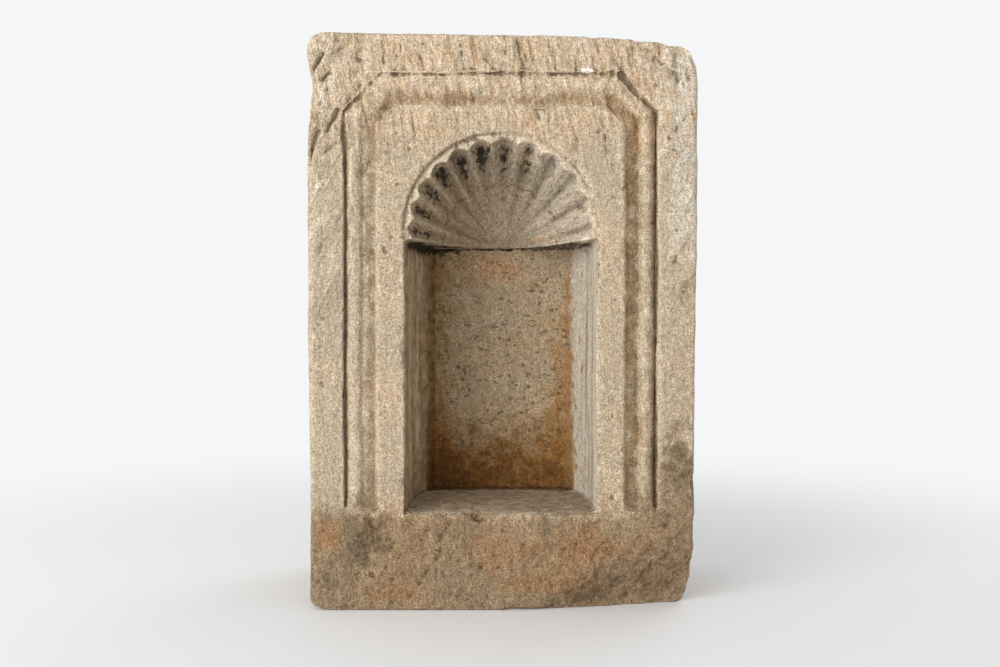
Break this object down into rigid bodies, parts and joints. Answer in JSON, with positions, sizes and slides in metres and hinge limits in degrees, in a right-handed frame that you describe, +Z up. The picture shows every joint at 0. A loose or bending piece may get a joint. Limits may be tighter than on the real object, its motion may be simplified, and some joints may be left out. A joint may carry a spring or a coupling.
{
  "type": "stone niche",
  "caption": "Upright block of carved sandstone with a canted moulding round a deep niche headed by a fluted shell.",
  "frame": {"origin": "middle of the underside's bounding rectangle, where the block stands", "axes": "+Z up, +Y from the carved face into the block, so the niche opens towards -Y, +X to the right as the niche is looked at"},
  "size_m": [0.405, 0.2, 0.6],
  "materials": {
    "weathered_sandstone": "weathered, tooled sandstone: gritty and matt, buff to grey-brown, with rust-brown and black staining in the recess"
  },
  "bodies": {
    "root": {"niche_block": "weathered_sandstone"}
  },
  "joints": []
}
